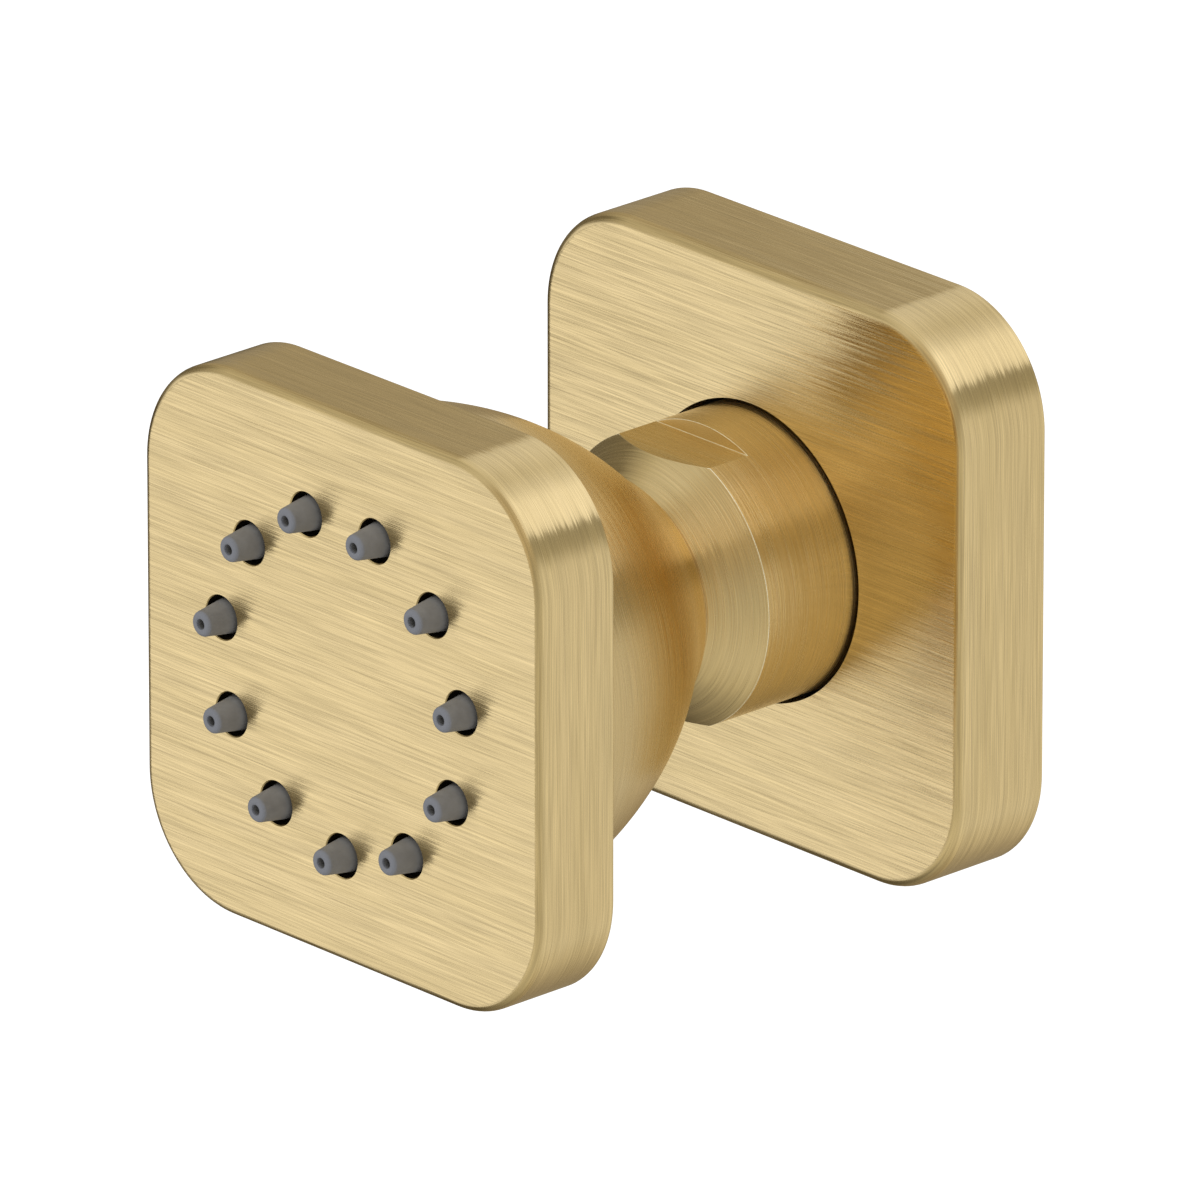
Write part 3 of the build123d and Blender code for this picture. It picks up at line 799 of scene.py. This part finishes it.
def looked_at(tree):
    """1 for rays from the camera, in reflections and through clear pieces, and 0 for soft light."""
    path = tree.nodes.new("ShaderNodeLightPath").outputs
    seen = computed(tree, "Math", "MAXIMUM", path["Is Camera Ray"], path["Is Glossy Ray"])
    return computed(tree, "Math", "MAXIMUM", seen, path["Is Transmission Ray"])


def ramp_over(tree, value, stops):
    """The colours of a ramp over a value, with (value, colour) stops."""
    ramp = tree.nodes.new("ShaderNodeValToRGB")
    elements = ramp.color_ramp.elements
    for index, (at, colour) in enumerate(stops):
        stop = elements[index] if index < 2 else elements.new(at)
        stop.position = at
        stop.color = (*colour, 1.0)
    tree.links.new(value, ramp.inputs["Fac"])
    return ramp.outputs["Color"]


def tent_grey(grey, amber=0.0):
    """The colour of one of the tent's greys: the darker, the warmer, and warmer still by amber."""
    warm = max(0.0, min(1.0, (WARM_BELOW - grey) / WARM_SPAN))
    brown = max(0.0, (BROWN_BELOW - grey) / BROWN_BELOW)
    level = grey / TENT_PEAK
    green, blue = (
        level * (1.0 - by_warm * warm - by_brown * brown) * (1.0 - by_amber * amber)
        for by_warm, by_brown, by_amber in zip(WARM_LOSS, BROWN_LOSS, AMBER_LOSS)
    )
    return level, green, blue


def greys_by_angle(tree, angle, greys):
    """A ramp of greys over an angle in degrees from straight up, turning to the right. A third
    number at an angle is how amber the grey is there."""
    first, last = greys[0][0], greys[-1][0]
    stops = [((degrees - first) / (last - first), tent_grey(*tone)) for degrees, *tone in greys]
    return ramp_over(tree, ranged(tree, angle, math.radians(first), math.radians(last)), stops)


bm = bmesh.new()
low = Matrix.Translation((0, 0, FLOOR_Z))
bmesh.ops.create_grid(bm, x_segments=1, y_segments=1, size=FLOOR_SIZE, matrix=low)
floor = placed(bm, "studio_floor")
floor_paint, tree, shader = nodes_of("floor_pale")
shader.inputs["Base Color"].default_value = (*FLOOR_GREY, 1.0)
shader.inputs["Roughness"].default_value = FLOOR_ROUGHNESS
shader.inputs["Specular IOR Level"].default_value = 0.0
shader.inputs["Emission Color"].default_value = (*WHITE, 1.0)
glow = ranged(tree, looked_at(tree), 0.0, 1.0, 0.0, FLOOR_GLOW)
tree.links.new(glow, shader.inputs["Emission Strength"])
floor.data.materials.append(floor_paint)

bm = bmesh.new()
bmesh.ops.create_uvsphere(bm, u_segments=48, v_segments=32, radius=TENT_R)
tent = placed(bm, "studio_tent")
tent.visible_camera = False
tent.visible_diffuse = False
tent.visible_shadow = False
tent.visible_transmission = False
tent_cloth = bpy.data.materials.new("tent_greys")
tent_cloth.use_nodes = True
tree = tent_cloth.node_tree
tree.nodes.clear()
way = computed(tree, "VectorMath", "NORMALIZE", place_on(tree))
halfway = computed(tree, "VectorMath", "ADD", way, TOWARDS_CAMERA)
facing = parts_of(tree, computed(tree, "VectorMath", "NORMALIZE", halfway))
angle = computed(tree, "Math", "ARCTAN2", facing["X"], facing["Z"])
angle = computed(
    tree, "Math", "WRAP", angle, math.radians(SIDE_GREYS[-1][0]), math.radians(SIDE_GREYS[0][0])
)
sides = greys_by_angle(tree, angle, SIDE_GREYS)
slopes = greys_by_angle(tree, angle, SLOPE_GREYS)
front = ranged(tree, facing["Y"], SLOPE_FROM, SLOPE_FULL)
greys = mixed(tree, front, sides, slopes)
for axis, other, slant, far, near in FRONT_EDGES:
    slanted = computed(tree, "Math", "MULTIPLY_ADD", facing[other], slant, facing[axis])
    front = computed(tree, "Math", "MULTIPLY", front, ranged(tree, slanted, far, near))
greys = mixed(tree, front, greys, (FRONT_GREY / TENT_PEAK,) * 3)
greys = mixed(tree, 1.0, greys, ramp_over(tree, facing["Y"], BEHIND_TINTS), "MULTIPLY")
light = tree.nodes.new("ShaderNodeEmission")
light.inputs["Strength"].default_value = TENT_PEAK
tree.links.new(greys, light.inputs["Color"])
output = tree.nodes.new("ShaderNodeOutputMaterial")
tree.links.new(light.outputs["Emission"], output.inputs["Surface"])
tent.data.materials.append(tent_cloth)

world = bpy.data.worlds.new("studio_white")
bpy.context.scene.world = world
world.use_nodes = True
tree = world.node_tree
backdrop = tree.nodes["Background"]
backdrop.inputs["Color"].default_value = (*WHITE, 1.0)
brightness = ranged(tree, looked_at(tree), 0.0, 1.0, SURROUND_LIGHT, 1.0)
tree.links.new(brightness, backdrop.inputs["Strength"])

lamp_data = bpy.data.lights.new("soft_lamp", "AREA")
lamp_data.shape = "DISK"
lamp_data.size = LAMP_SIZE
lamp_data.energy = LAMP_POWER
lamp = bpy.data.objects.new("soft_lamp", lamp_data)
bpy.context.scene.collection.objects.link(lamp)
lamp.location = LAMP_PLACE
lamp.rotation_euler = (-lamp.location).to_track_quat("-Z", "Y").to_euler()
lamp.visible_camera = False
lamp.visible_glossy = False

# Camera
# It stands to the right of the jet and a little above, far off, as for a catalogue picture. It
# looks at a point ahead of the flange, at a distance in metres.
AZIMUTH = math.radians(47.111)
ELEVATION = math.radians(21.314)
DISTANCE = 2.143
AIM = (-6.784, -25.0, -3.456)
SENSOR_WIDTH = 36.0
PICTURE_WIDTH = 1200
PIXELS_PER_MM = 10.199
camera_data = bpy.data.cameras.new("camera")
camera_data.sensor_width = SENSOR_WIDTH
camera_data.lens = PIXELS_PER_MM * DISTANCE / MM / PICTURE_WIDTH * SENSOR_WIDTH
camera_data.clip_start = 0.1
camera_data.clip_end = 20.0
camera = bpy.data.objects.new("camera", camera_data)
bpy.context.scene.collection.objects.link(camera)
back = Vector((
    math.sin(AZIMUTH) * math.cos(ELEVATION),
    -math.cos(AZIMUTH) * math.cos(ELEVATION),
    math.sin(ELEVATION),
))
camera.location = Vector(AIM) * MM + back * DISTANCE
camera.rotation_euler = (-back).to_track_quat("-Z", "Y").to_euler()
bpy.context.scene.camera = camera
bpy.context.scene.view_settings.view_transform = "Standard"
